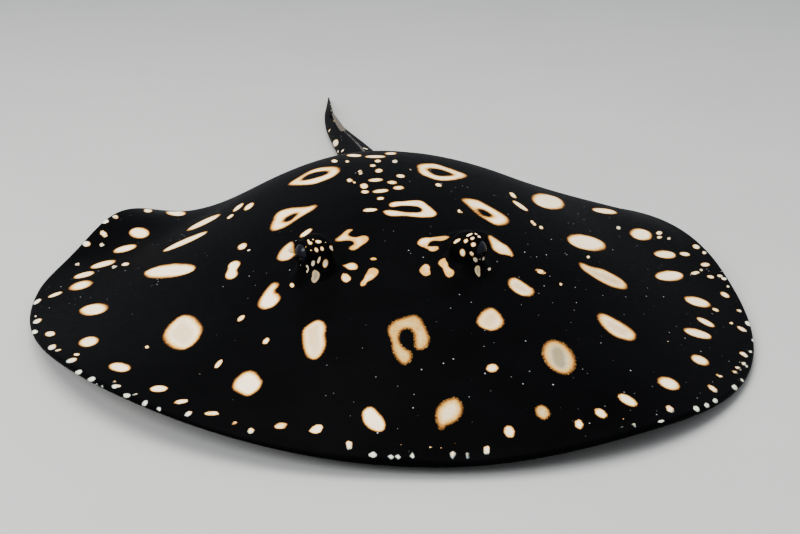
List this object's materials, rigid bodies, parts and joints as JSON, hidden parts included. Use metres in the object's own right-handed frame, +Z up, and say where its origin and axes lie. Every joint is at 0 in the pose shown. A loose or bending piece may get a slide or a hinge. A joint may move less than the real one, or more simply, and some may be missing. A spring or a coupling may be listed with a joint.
{
  "type": "freshwater stingray",
  "caption": "Life-size still model of a freshwater stingray resting flat: round black disc with cream spots, raised eye knobs, wavy fin edge and a tapering tail with a sting.",
  "frame": {"origin": "on the floor plane under the middle of the disc, where the flat belly rests", "axes": "+Z up, -Y towards the snout, +Y along the tail, +X towards the animal's left fin"},
  "size_m": [0.4646, 0.8653, 0.0835],
  "materials": {
    "skin": "damp satin skin, black with cream spots ringed in tan",
    "eye": "wet, glossy and almost black",
    "sting": "dull horn-coloured dentine with fine barbs"
  },
  "bodies": {
    "root": {"head": "skin", "trunk": "skin", "pectoral_fin_left": "skin", "pectoral_fin_right": "skin", "pelvic_fin_left": "skin", "pelvic_fin_right": "skin", "tail_base": "skin", "tail_middle": "skin", "tail_tip": "skin", "eye_left": "eye", "eye_right": "eye", "tail_sting": "sting"}
  },
  "joints": []
}
